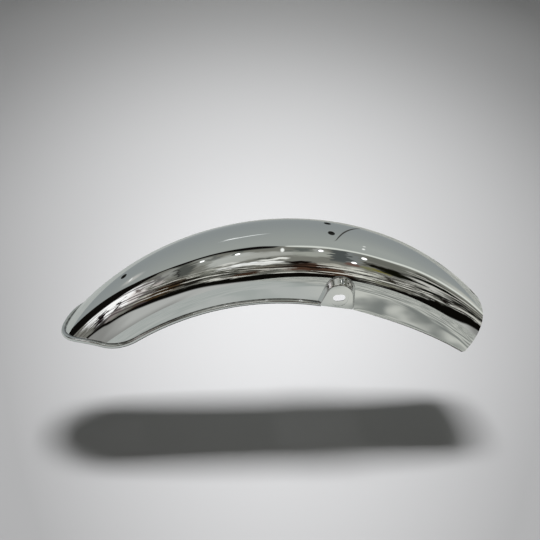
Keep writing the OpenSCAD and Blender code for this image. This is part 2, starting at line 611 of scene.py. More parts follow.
@dataclass(frozen=True)
class NoseTrim:
    """The knife that rounds the lower corner of the front cut."""

    plan: Plan
    steps: int = 14
    reach: float = 0.006

    def cutter(self) -> bpy.types.Object:
        """A prism across the blade that leaves a round corner.

        Returns:
            The closed cutter.
        """
        p = self.plan
        centre, r = Vector(p.nose_corner), p.nose_corner_radius
        along = (p.nose_low - p.nose_top).normalized()
        first = angle_of(Vector((-along.y, along.x)))
        last = angle_of(p.front - centre)
        line = [centre + r * direction(first + (last - first) * i / self.steps)
                for i in range(self.steps + 1)]
        line += [line[-1] + self.reach * direction(last),
                 centre + (r + 1.6 * self.reach) * direction((first + last) / 2),
                 line[0] + self.reach * direction(first)]
        bpy.ops.mesh.primitive_circle_add(vertices=len(line), radius=0.01)
        knife = name_last("nose_knife")
        with editing(knife):
            bm = bmesh.from_edit_mesh(knife.data)
            bm.verts.ensure_lookup_table()
            for v, q in zip(bm.verts, line):
                v.co = p.placed(q, -0.075)
            bmesh.update_edit_mesh(knife.data)
            bpy.ops.mesh.select_all(action="SELECT")
            bpy.ops.mesh.edge_face_add()
            bpy.ops.mesh.extrude_region_move(TRANSFORM_OT_translate={"value": (0, 0.15, 0)})
        recalc_outside(knife)
        return knife


@dataclass
class EdgeBead:
    """The rolled bead along both rear lower edges and round the tail."""

    plan: Plan
    fillet: float = 0.0012
    start_x: float = 0.0405
    # How much painted shade each step of the bead's section gets: darkest in the fillet where
    # the bead meets the sheet and on the bead's underside.
    shade_tone: tuple[float, ...] = (0.2, 0.75, 1.0, 0.85, 0.35, 0.1, 0.0, 0.0, 0.0, 0.0, 0.05,
                                0.2, 0.5, 0.85, 0.95, 1.0)
    obj: bpy.types.Object = field(init=False, default=None)

    def profile(self) -> list[Point]:
        """The bead's closed section, as distances inwards and outwards.

        Returns:
            Points as (distance in from the centre line, height over the sheet).
        """
        p = self.plan
        r, out, f = p.bead_radius, p.bead_out, self.fillet
        in_f = math.sqrt((r + f) ** 2 - (f - out) ** 2)
        meet = math.degrees(math.atan2(f - out, in_f))
        points = [(in_f + 0.0006, -0.00012)]
        steps = 7
        for i in range(steps + 1):
            a = math.radians(270 - (270 - 180 - meet) * i / steps)
            points.append((in_f + f * math.cos(a), f + f * math.sin(a)))
        last = 360 - math.degrees(math.asin((p.sheet + out) / r))
        steps = 22
        for i in range(1, steps + 1):
            a = math.radians(meet + (last - meet) * i / steps)
            points.append((r * math.cos(a), out + r * math.sin(a)))
        points.append((r * math.cos(math.radians(last)) + 0.0006, -p.sheet + 0.0003))
        return points

    def build(self, sheet: bpy.types.Object) -> bpy.types.Object:
        """Rolls the bead from the edge line of the open sheet.

        Args:
            sheet: the sheet before it gets its wall.

        Returns:
            The closed bead.
        """
        with editing(sheet):
            select_where(sheet, self._on_line)
            bpy.ops.mesh.duplicate()
            bpy.ops.mesh.separate(type="SELECTED")
        line = [o for o in bpy.context.selected_objects if o is not sheet][0]
        pick(line)
        self.obj = name_last("edge_bead")
        self._mark_line()
        self._roll()
        return self.obj

    def _on_line(self, v: bmesh.types.BMVert) -> bool:
        """Tells if a vertex of the sheet lies on the edge that is rolled."""
        return v.is_boundary and self.plan.unplaced(v.co).x < self.start_x

    def _mark_line(self) -> None:
        """Stores each line point's place and inward direction on the line."""
        p = self.plan
        mesh = self.obj.data
        near: dict[int, list[int]] = {v.index: [] for v in mesh.vertices}
        for e in mesh.edges:
            near[e.vertices[0]].append(e.vertices[1])
            near[e.vertices[1]].append(e.vertices[0])
        # Layer for the painted shade, filled in as the bead is rolled.
        mesh.attributes.new("shade_mask", "FLOAT", "POINT")
        base = mesh.attributes.new("base", "FLOAT_VECTOR", "POINT")
        inward = mesh.attributes.new("inward", "FLOAT_VECTOR", "POINT")
        for v in mesh.vertices:
            others = [mesh.vertices[i].co for i in near[v.index]]
            run = (others[1] - others[0]) if len(others) == 2 else (others[0] - v.co)
            side = p.normal_at(v.co).cross(run.normalized())
            if side.dot(self._into_sheet(v.co)) < 0:
                side.negate()
            base.data[v.index].vector = v.co
            inward.data[v.index].vector = side

    def _into_sheet(self, spot: Vector) -> Vector:
        """Rough direction from the bead's line into the sheet.

        Args:
            spot: a point of the line, in the model's frame.

        Returns:
            The direction in the model's frame.
        """
        p = self.plan
        q = p.unplaced(spot)
        corner = p.corner_centre
        lines = (
            (p.rear, p.rear_radius + p.bead_radius, 1.0),
            (corner, p.corner_radius - p.bead_radius, -1.0),
            (p.tail_centre, p.tail_radius + p.bead_radius, 1.0),
        )
        centre, _, sense = min(lines, key=lambda c: abs((q - c[0]).length - c[1]))
        way = sense * (q - centre).normalized()
        return p.placed(q + way, 0.0) - p.placed(q, 0.0)

    def _roll(self) -> None:
        """Extrudes the line once for each point of the section, then closes it."""
        p = self.plan
        profile = self.profile()
        with editing(self.obj):
            bpy.ops.mesh.select_all(action="SELECT")
            for k, (reach, height) in enumerate(profile):
                if k:
                    bpy.ops.mesh.extrude_region_move()
                bm = bmesh.from_edit_mesh(self.obj.data)
                base = bm.verts.layers.float_vector["base"]
                inward = bm.verts.layers.float_vector["inward"]
                shade_mask = bm.verts.layers.float["shade_mask"]
                for v in bm.verts:
                    if v.select:
                        v.co = p.on_sheet(v[base] + reach * v[inward], height)
                        # Painted shade for this step of the section.
                        v[shade_mask] = self.shade_tone[min(k * len(self.shade_tone) // len(profile),
                                                   len(self.shade_tone) - 1)]
                bmesh.update_edit_mesh(self.obj.data)
            bpy.ops.mesh.select_all(action="DESELECT")
            bpy.ops.mesh.select_mode(type="EDGE")
            bm = bmesh.from_edit_mesh(self.obj.data)
            base = bm.verts.layers.float_vector["base"]
            for e in bm.edges:
                one, two = e.verts
                e.select = e.is_boundary and (one[base] - two[base]).length > 1e-7
            bmesh.update_edit_mesh(self.obj.data)
            bpy.ops.mesh.bridge_edge_loops()
            bpy.ops.mesh.select_all(action="DESELECT")
            bpy.ops.mesh.select_mode(type="VERT")
            bpy.ops.mesh.select_non_manifold()
            bpy.ops.mesh.edge_face_add()
        recalc_outside(self.obj)


@dataclass
class FixingPad:
    """A hollow raised pad on one side wall, with a round seat and a slot."""

    plan: Plan
    side: Side
    rise: float = 0.007
    face_radius: float = 0.0153
    foot_radius: float = 0.0182
    foot_shift: Point = (0.001, 0.005)
    slot_width: float = 0.008
    slot_length: float = 0.014
    seat_radius: float = 0.0105
    seat_depth: float = 0.0004
    loops: int = 12
    arc_steps: int = 40
    leg_steps: int = 6
    lift: Point = (0.0034, 0.0056)
    obj: bpy.types.Object = field(init=False, default=None)

    def outline(self, centre: Vector, radius: float, lean: float, low: float) -> list[Vector]:
        """One outline of the pad in side view, open at its foot.

        Args:
            centre: centre of the round top.
            radius: radius of the round top.
            lean: slope of the rear leg in degrees.
            low: height at which both legs end.

        Returns:
            Points from the rear leg's end over the top to the front leg's end.
        """
        start = centre + radius * direction(90 + lean)
        foot = start - direction(lean) * (start.y - low) / math.sin(math.radians(lean))
        end = centre + Vector((radius, 0))
        toe = Vector((end.x, low))
        points = [foot.lerp(start, i / self.leg_steps) for i in range(self.leg_steps)]
        points += [centre + radius * direction((90 + lean) * (1 - i / self.arc_steps))
                   for i in range(self.arc_steps + 1)]
        points += [end.lerp(toe, i / self.leg_steps) for i in range(1, self.leg_steps + 1)]
        return points

    def levels(self) -> list[tuple[float, float]]:
        """How far each loop is from foot to face, and its height.

        Returns:
            Pairs of share and height, from the foot up.
        """
        out = [(-0.04, -0.0008), (-0.02, -0.0002)]
        ease = 0.34
        for i in range(self.loops + 1):
            w = i / self.loops
            if w < ease:
                h = w * w / (2 * ease)
            elif w > 1 - ease:
                h = 1 - ease - (1 - w) ** 2 / (2 * ease)
            else:
                h = w - ease / 2
            out.append((w, self.rise * h / (1 - ease)))
        return out

    def build(self) -> bpy.types.Object:
        """Draws the pad out from its foot to its face and hollows it.

        Returns:
            The closed pad shell.
        """
        p = self.plan
        low = p.pad_edge.y - 0.009
        foot = self.outline(p.slot + Vector(self.foot_shift), self.foot_radius, 68, low)
        face = self.outline(p.slot, self.face_radius, 61, low)
        sign = self.side.value
        bpy.ops.mesh.primitive_circle_add(vertices=len(foot), radius=0.02)
        self.obj = name_last(f"fixing_pad_{self.side.name.lower()}")
        with editing(self.obj):
            bm = bmesh.from_edit_mesh(self.obj.data)
            bm.verts.ensure_lookup_table()
            bm.verts.layers.float.new("place")
            bm.verts.layers.float.new("shade_mask")
            place = bm.verts.layers.float["place"]
            for i, v in enumerate(bm.verts):
                v[place] = i
            bmesh.update_edit_mesh(self.obj.data)
            bpy.ops.mesh.select_all(action="SELECT")
            for k, (share, height) in enumerate(self.levels()):
                if k:
                    bpy.ops.mesh.extrude_region_move()
                bm = bmesh.from_edit_mesh(self.obj.data)
                place = bm.verts.layers.float["place"]
                shade_mask = bm.verts.layers.float["shade_mask"]
                for v in bm.verts:
                    if v.select:
                        # Painted shade: darkest at the foot where the pad meets the side wall,
                        # with a thinner dark line just under the face's rim.
                        v[shade_mask] = max(0.9 - 7 * max(share, 0.0), 0.0,
                                        0.55 - 12 * abs(share - 0.93))
                        i = int(round(v[place]))
                        q = foot[i].lerp(face[i], share)
                        v.co = p.placed(q, sign * (p.half_width + height))
                bmesh.update_edit_mesh(self.obj.data)
            bpy.ops.mesh.edge_face_add()
            bpy.ops.mesh.inset(thickness=0.0004, depth=0.0)
        recalc_outside(self.obj)
        top = max(self.obj.data.polygons, key=lambda f: f.area)
        if top.normal.y * sign < 0:
            with editing(self.obj):
                bpy.ops.mesh.select_all(action="SELECT")
                bpy.ops.mesh.flip_normals()
        self._trim_foot()
        apply_modifier(self.obj, "SOLIDIFY", thickness=p.sheet, offset=-1.0)
        self._cut_seat_and_slot()
        return self.obj

    def _trim_foot(self) -> None:
        """Trims the legs along the side wall's lower edge."""
        p = self.plan
        left = Vector((p.pad_x - 0.026, 0.0))
        left.y = p.rear.y + math.sqrt(p.rear_radius ** 2 - (left.x - p.rear.x) ** 2)
        right = Vector((p.pad_x + 0.018, 0.0))
        right.y = p.front.y + math.sqrt(p.front_radius ** 2 - (right.x - p.front.x) ** 2)
        left.y, right.y = left.y + self.lift[0], right.y + self.lift[1]
        a, b = p.placed(left, 0.0), p.placed(right, 0.0)
        run = b - a
        with editing(self.obj):
            bpy.ops.mesh.select_all(action="SELECT")
            bpy.ops.mesh.bisect(plane_co=a, plane_no=(-run.z, 0, run.x), use_fill=False,
                                clear_inner=run.x > 0, clear_outer=run.x <= 0)

    def _cut_seat_and_slot(self) -> None:
        """Presses the round seat and cuts the slot through the face."""
        p, sign = self.plan, self.side.value
        outer = sign * (p.half_width + self.rise)
        centre = p.placed(p.slot, outer)
        bpy.ops.mesh.primitive_cone_add(
            vertices=96, radius1=self.seat_radius, radius2=self.seat_radius - 0.0001,
            depth=2 * self.seat_depth, location=centre,
            rotation=(sign * math.pi / 2, 0, 0))
        seat = name_last("seat_cutter")
        settle(seat)
        cut_with(self.obj, seat)
        run = self.slot_length - self.slot_width
        bpy.ops.mesh.primitive_cylinder_add(
            vertices=64, radius=self.slot_width / 2, depth=0.02, location=centre,
            rotation=(math.pi / 2, 0, 0))
        slot = name_last("slot_cutter")
        settle(slot)
        turn = math.radians(-p.rest)
        ahead = Vector((math.cos(turn), 0, math.sin(turn)))
        with editing(slot):
            select_where(slot, lambda v: (v.co - centre).dot(ahead) > 1e-6)
            bpy.ops.transform.translate(value=ahead * run / 2)
            select_where(slot, lambda v: (v.co - centre).dot(ahead) <= 1e-6)
            bpy.ops.transform.translate(value=-ahead * run / 2)
        cut_with(self.obj, slot)
        # No painted shade inside the round seat.
        shade_mask = self.obj.data.attributes["shade_mask"].data
        for v in self.obj.data.vertices:
            if math.hypot(v.co.x - centre.x, v.co.z - centre.z) < self.seat_radius + 0.0002:
                shade_mask[v.index].value = 0.0

    def flatten(self, blade: bpy.types.Object) -> None:
        """Keeps the pad's face and its seat flat in the joined blade's shading.

        Args:
            blade: the joined blade.
        """
        least = self.plan.half_width + self.rise / 2
        for face in blade.data.polygons:
            if self.side.value * face.center.y > least and abs(face.normal.y) > 0.999:
                face.use_smooth = False

    def hollow_cutter(self) -> bpy.types.Object:
        """The block that opens the side wall behind the pad.

        Returns:
            The closed cutter.
        """
        p, sign = self.plan, self.side.value
        low = p.pad_edge.y - 0.012
        line = self.outline(p.slot + Vector(self.foot_shift), self.foot_radius - 0.0009,
                            68, low)
        bpy.ops.mesh.primitive_circle_add(vertices=len(line), radius=0.02)
        cutter = name_last("hollow_cutter")
        with editing(cutter):
            bm = bmesh.from_edit_mesh(cutter.data)
            bm.verts.ensure_lookup_table()
            for v, q in zip(bm.verts, line):
                v.co = p.placed(q, sign * (p.half_width - 0.0045))
            bmesh.update_edit_mesh(cutter.data)
            bpy.ops.mesh.select_all(action="SELECT")
            bpy.ops.mesh.edge_face_add()
            bpy.ops.mesh.extrude_region_move(
                TRANSFORM_OT_translate={"value": (0, sign * 0.0075, 0)})
        recalc_outside(cutter)
        return cutter


@dataclass(frozen=True)
class BoltHole:
    """A round hole drilled along the blade's radius."""

    angle: float
    across: float = 0.0
    radius: float = 0.0042

    def cutter(self, plan: Plan) -> bpy.types.Object:
        """A drill at the hole's place, as long as the sheet needs.

        Args:
            plan: the blade's sizes.

        Returns:
            The closed drill.
        """
        ray = direction(90 - self.angle)
        centre = plan.placed(plan.crown_radius * ray, self.across)
        out = plan.placed((plan.crown_radius + 1) * ray, self.across) - centre
        bpy.ops.mesh.primitive_cylinder_add(
            vertices=64, radius=self.radius, depth=0.02, location=centre,
            rotation=out.to_track_quat("Z", "Y").to_euler())
        drill = name_last("drill")
        settle(drill)
        return drill


@dataclass(frozen=True)
class ChromePlate:
    """Bright polished chrome with a faint wave and haze, and painted shade: a near-black tint
    laid along the marked creases, broken up by fine noise.
    """

    colour: tuple[float, float, float] = (0.80, 0.81, 0.81)
    gloss_low: float = 0.006
    gloss_high: float = 0.035
    # Colour of the painted shade along the bead and round the pads' feet.
    shade_tone: tuple[float, float, float] = (0.035, 0.034, 0.031)

    def material(self) -> bpy.types.Material:
        """Builds the chrome material on Object coordinates.

        Returns:
            The material.
        """
        mat = bpy.data.materials.new("chrome_plate")
        mat.use_nodes = True
        nodes, links = mat.node_tree.nodes, mat.node_tree.links
        shader = nodes["Principled BSDF"]
        shader.inputs["Base Color"].default_value = (*self.colour, 1)
        shader.inputs["Metallic"].default_value = 1.0
        coords = nodes.new("ShaderNodeTexCoord")
        haze = nodes.new("ShaderNodeTexNoise")
        haze.inputs["Scale"].default_value = 14.0
        haze.inputs["Detail"].default_value = 6.0
        spread = nodes.new("ShaderNodeMapRange")
        spread.inputs["From Min"].default_value = 0.35
        spread.inputs["From Max"].default_value = 0.75
        spread.inputs["To Min"].default_value = self.gloss_low
        spread.inputs["To Max"].default_value = self.gloss_high
        # Painted shade: the base colour turns near black by the mesh's painted-shade layer, in
        # the bead's fillet and underside and at the pads' feet and face rims; fine noise only
        # breaks it up.
        shade_mask = nodes.new("ShaderNodeAttribute")
        shade_mask.attribute_name = "shade_mask"
        shade_noise = nodes.new("ShaderNodeTexNoise")
        shade_noise.inputs["Scale"].default_value = 260.0
        shade_noise.inputs["Detail"].default_value = 3.0
        shade_breakup = nodes.new("ShaderNodeMapRange")
        shade_breakup.inputs["From Min"].default_value = 0.3
        shade_breakup.inputs["From Max"].default_value = 0.7
        shade_breakup.inputs["To Min"].default_value = 0.55
        shade_breakup.inputs["To Max"].default_value = 1.0
        share = nodes.new("ShaderNodeMath")
        share.operation = "MULTIPLY"
        tint = nodes.new("ShaderNodeMix")
        tint.data_type = "RGBA"
        tint.inputs[6].default_value = (*self.colour, 1)
        tint.inputs[7].default_value = (*self.shade_tone, 1)
        links.new(coords.outputs["Object"], shade_noise.inputs["Vector"])
        links.new(shade_noise.outputs["Fac"], shade_breakup.inputs["Value"])
        links.new(shade_breakup.outputs["Result"], share.inputs[0])
        links.new(shade_mask.outputs["Fac"], share.inputs[1])
        links.new(share.outputs[0], tint.inputs[0])
        links.new(tint.outputs[2], shader.inputs["Base Color"])
        wave = nodes.new("ShaderNodeTexNoise")
        wave.inputs["Scale"].default_value = 22.0
        wave.inputs["Detail"].default_value = 1.0
        bump = nodes.new("ShaderNodeBump")
        bump.inputs["Strength"].default_value = 0.12
        bump.inputs["Distance"].default_value = 0.0006
        links.new(coords.outputs["Object"], haze.inputs["Vector"])
        links.new(coords.outputs["Object"], wave.inputs["Vector"])
        links.new(haze.outputs["Fac"], spread.inputs["Value"])
        links.new(spread.outputs["Result"], shader.inputs["Roughness"])
        links.new(wave.outputs["Fac"], bump.inputs["Height"])
        links.new(bump.outputs["Normal"], shader.inputs["Normal"])
        return mat


@dataclass(frozen=True)
class DullShadedInside:
    """The unpolished inner face: dull grey steel with a cloudy bloom, its colour made dark as
    painted shade for the unlit underside.
    """

    colour: tuple[float, float, float] = (0.16, 0.16, 0.155)
    gloss: float = 0.42

    def material(self) -> bpy.types.Material:
        """Builds the dull, darkened finish on Object coordinates.

        Returns:
            The material.
        """
        mat = bpy.data.materials.new("dull_shaded_inside")
        mat.use_nodes = True
        nodes, links = mat.node_tree.nodes, mat.node_tree.links
        shader = nodes["Principled BSDF"]
        shader.inputs["Metallic"].default_value = 1.0
        shader.inputs["Roughness"].default_value = self.gloss
        coords = nodes.new("ShaderNodeTexCoord")
        bloom = nodes.new("ShaderNodeTexNoise")
        bloom.inputs["Scale"].default_value = 30.0
        bloom.inputs["Detail"].default_value = 8.0
        ramp = nodes.new("ShaderNodeValToRGB")
        ramp.color_ramp.elements[0].position = 0.35
        ramp.color_ramp.elements[0].color = (*(c * 0.7 for c in self.colour), 1)
        ramp.color_ramp.elements[1].position = 0.7
        ramp.color_ramp.elements[1].color = (*(c * 1.4 for c in self.colour), 1)
        links.new(coords.outputs["Object"], bloom.inputs["Vector"])
        links.new(bloom.outputs["Fac"], ramp.inputs["Fac"])
        links.new(ramp.outputs["Color"], shader.inputs["Base Color"])
        return mat

    @staticmethod
    def dress_inner(blade: bpy.types.Object, plan: Plan, index: int) -> None:
        """Gives the finish to the faces that look back towards the tyre.

        Args:
            blade: the joined blade.
            plan: its sizes.
            index: the finish's material slot.
        """
        marks = blade.data.attributes["shade_mask"].data
        for face in blade.data.polygons:
            spot = plan.unplaced(face.center)
            radius, across = spot.length, face.center.y
            if marks[face.vertices[0]].value > 0.001 or abs(across) > plan.half_width + 0.0006:
                continue
            outward = plan.normal_at(face.center) if radius < 0.4 else face.normal
            if abs(across) < plan.half_width + 0.0006 and face.normal.dot(outward) < 0.35:
                face.material_index = index


class Form(Enum):
    """The outlines a card of the studio may have."""

    ROUND = "round"
    SQUARE = "square"


@dataclass(frozen=True)
class Card:
    """A lamp, white card or dark cloth hung round the part, as the chrome sees it.

    Places and sizes are in degrees from straight overhead, first towards +X and
    then towards +Y. The colour is what the polished chrome shows, from 0 to 255.
    """

    at: Point
    half: Point
    colour: tuple[int, int, int]
    turn: float = 0.0
    soft: float = 0.5
    form: Form = Form.ROUND
    share: float = 1.0


ROOM_CARDS = (
    Card((-57, 8), (12, 27), (246, 245, 244), soft=0.25),
    Card((-66, 28), (4, 8), (225, 225, 224), turn=-25, soft=0.5),
    Card((-50, -6), (4, 16), (214, 208, 205), soft=0.3),
    Card((-57.5, 1), (1.1, 13), (12, 12, 11), turn=-14, soft=0.2),
    Card((-65.0, 4), (3.0, 15), (10, 10, 9), turn=-8, soft=0.2),
    Card((-65, -18), (5, 10), (46, 44, 42), soft=0.5),
    Card((-59, -15), (4, 10), (130, 124, 121), soft=0.4),
    Card((-48, 5), (1.6, 9), (110, 102, 99), soft=0.45),
    Card((-40, 5), (2.2, 13), (104, 104, 101), soft=0.45),
    Card((-44, 4), (1.6, 9), (182, 181, 177), soft=0.4),
    Card((-36, 5), (3, 14), (135, 136, 131), soft=0.45),
    Card((-41, -10), (2.5, 7), (176, 170, 166), soft=0.45),
    Card((-31, -4), (4.2, 24), (74, 76, 72), soft=0.5),
    Card((-33.4, -8), (0.7, 16), (40, 40, 37), soft=0.4),
    Card((-24, 2), (2.6, 13), (138, 140, 135), soft=0.5),
    Card((-20, 1), (1.5, 9), (98, 100, 97), soft=0.4),
    Card((-14, -15), (10, 15), (167, 169, 164), soft=0.35),
    Card((-2, -19), (12, 9), (160, 161, 155), soft=0.5),
    Card((-12, 1), (1.4, 5), (90, 94, 90), soft=0.4),
    Card((14, -18), (8, 12), (150, 152, 144), soft=0.4),
    Card((10, -8), (5, 7), (88, 92, 88), soft=0.5),
    Card((16, -8), (1.5, 12), (145, 146, 142), soft=0.45),
    Card((24, -17), (3.3, 22), (73, 77, 76), soft=0.35, form=Form.SQUARE),
    Card((29, -17), (2.2, 22), (113, 117, 116), soft=0.5, form=Form.SQUARE),
    Card((44, -9), (13, 9), (98, 99, 92), soft=0.4, form=Form.SQUARE),
    Card((58, -2), (7, 10), (52, 53, 46), turn=-25, soft=0.4),
    Card((44, -30), (9, 10), (11, 12, 5), soft=0.4),
    Card((36, -28), (4, 6), (16, 16, 10), soft=0.4),
    Card((37.5, -39.5), (4.2, 3.2), (110, 104, 52), turn=-10, soft=0.45),
    Card((33, -41), (3, 5), (110, 110, 84), soft=0.55),
    Card((46, -50), (3.5, 9), (92, 91, 86), turn=15, soft=0.45),
    Card((40, -55), (3.5, 6), (44, 41, 34), turn=10, soft=0.4),
    Card((57, -52), (5, 10), (24, 22, 18), turn=10, soft=0.5),
    Card((53.5, -40), (3.2, 10), (120, 119, 112), turn=-15, soft=0.45),
    Card((57, -20), (7, 6.5), (176, 175, 170), turn=-20, soft=0.4),
    Card((63, -14.5), (7, 3), (138, 138, 134), turn=-25, soft=0.4),
    Card((71, -6), (4, 5), (126, 125, 121), turn=-20, soft=0.45),
    Card((64, -3), (8, 6.5), (9, 9, 6), turn=-28, soft=0.45),
    Card((66, -37), (6, 12), (17, 10, 9), turn=15, soft=0.4),
    Card((73, -25), (4, 9), (62, 42, 38), turn=10, soft=0.4),
    Card((66, -19), (2.0, 4.0), (96, 95, 91), turn=-25, soft=0.55),
    Card((-39, -38), (12, 15), (66, 51, 33), turn=18, soft=0.45),
    Card((-46, -33), (4, 7), (94, 82, 66), turn=25, soft=0.45),
    Card((-22, -40), (6, 14), (128, 129, 120), turn=15, soft=0.4),
    Card((-15, -28), (4, 4), (198, 198, 192), soft=0.45),
    Card((-9, -40), (9, 4.5), (236, 237, 235), turn=-22, soft=0.5),
    Card((0, -44), (6, 5), (236, 236, 232), turn=-10, soft=0.4),
    Card((2, -34.5), (6, 2.6), (226, 226, 220), turn=5, soft=0.45),
    Card((-3, -30), (3, 2.6), (78, 80, 75), soft=0.45),
    Card((10, -48), (4, 5), (12, 8, 5), turn=25, soft=0.5),
    Card((-12, -50), (8, 4), (84, 84, 76), turn=-25, soft=0.45),
    Card((2, -57), (10, 5), (112, 108, 98), turn=-8, soft=0.45),
    Card((15, -61), (9, 12), (78, 57, 45), turn=0, soft=0.4),
    Card((-5, -68), (6, 6), (62, 44, 33), turn=-15, soft=0.4),
    Card((2, -64), (3, 4), (150, 146, 138), turn=0, soft=0.45),
    Card((23, -74), (6, 14), (80, 60, 46), turn=0, soft=0.4),
    Card((31, -57), (7, 11), (178, 178, 169), turn=8, soft=0.4),
    Card((21, -50), (4, 6), (163, 161, 151), turn=0, soft=0.45),
    Card((37, -72), (6, 5), (118, 118, 104), turn=20, soft=0.4),
    Card((28, -39), (3, 5), (98, 78, 70), turn=0, soft=0.45),
    Card((44, -68), (3, 5), (126, 125, 116), turn=30, soft=0.45),
)

ROOF_CARDS = (
    Card((-4, 116), (36, 24), (176, 178, 179), soft=0.9),
    Card((46, 100), (22, 16), (165, 167, 168), soft=0.9),
    Card((70, 40), (9, 16), (180, 180, 172), turn=-25, soft=0.9),
    Card((-42, 53), (3.6, 4), (176, 176, 172), turn=-25, soft=0.8),
    Card((36, 22), (14, 22), (150, 154, 150), soft=0.9),
)

LAMPS = (
    Card((26.2, 66), (0.32, 33), (62, 62, 60), turn=-7.7, soft=0.25),
    Card((-42.5, 54), (0.5, 2.2), (230, 232, 230), turn=-35, soft=0.5),
    Card((-6, 47.6), (7.5, 0.55), (236, 240, 239), soft=0.4),
    Card((-10, 48.6), (2.4, 0.4), (250, 252, 251), soft=0.4),
    Card((-24.5, 3.5), (0.9, 1.7), (255, 255, 255), soft=0.4),
    Card((-12, -3.6), (0.9, 2.2), (255, 255, 255), soft=0.4),
    Card((3.6, -8), (0.7, 7), (236, 238, 234), soft=0.5),
    Card((17, -9), (0.9, 3.0), (255, 255, 255), soft=0.4),
    Card((32.3, -13), (1.0, 3.2), (255, 255, 255), soft=0.4),
    Card((28.6, -33), (1.0, 2.4), (255, 255, 255), soft=0.5),
    Card((31.8, 21), (0.6, 3.2), (228, 230, 226), soft=0.5),
    Card((31.8, 33), (0.6, 2.4), (206, 208, 204), soft=0.5),
)


@dataclass
class NodeDesk:
    """Lays the nodes that the floor's paint and the studio's air share."""

    tree: bpy.types.NodeTree = field(init=False, default=None)

    def _math(self, operation: str, *values: Socket | float) -> Socket:
        """Adds one Math node whose inputs are sockets or numbers.

        Args:
            operation: the node's operation.
            values: its inputs in order.

        Returns:
            The result.
        """
        node = self.tree.nodes.new("ShaderNodeMath")
        node.operation = operation
        for slot, value in zip(node.inputs, values):
            if isinstance(value, (int, float)):
                slot.default_value = value
            else:
                self.tree.links.new(value, slot)
        return node.outputs[0]

    def _fade(self, value: Socket, start: float, end: float, low: float = 0.0,
              high: float = 1.0) -> Socket:
        """A smooth change from one level to another over a range.

        Args:
            value: what is measured.
            start: where the change begins.
            end: where it ends, which may be below the start.
            low: the level before the start.
            high: the level past the end.

        Returns:
            The level.
        """
        node = self.tree.nodes.new("ShaderNodeMapRange")
        node.interpolation_type = "SMOOTHSTEP"
        for slot, number in zip(("From Min", "From Max", "To Min", "To Max"),
                                (start, end, low, high)):
            node.inputs[slot].default_value = number
        self.tree.links.new(value, node.inputs["Value"])
        return node.outputs["Result"]

    def _mix(self, mask: Socket, below: Shade, above: Shade) -> Socket:
        """Lays one colour over another by a mask.

        Args:
            mask: how much of the upper colour shows.
            below: the lower colour.
            above: the upper colour.

        Returns:
            The mixed colour.
        """
        node = self.tree.nodes.new("ShaderNodeMix")
        node.data_type = "RGBA"
        for slot, value in ((node.inputs[0], mask), (node.inputs[6], below),
                            (node.inputs[7], above)):
            if isinstance(value, bpy.types.NodeSocket):
                self.tree.links.new(value, slot)
            else:
                slot.default_value = value
        return node.outputs[2]


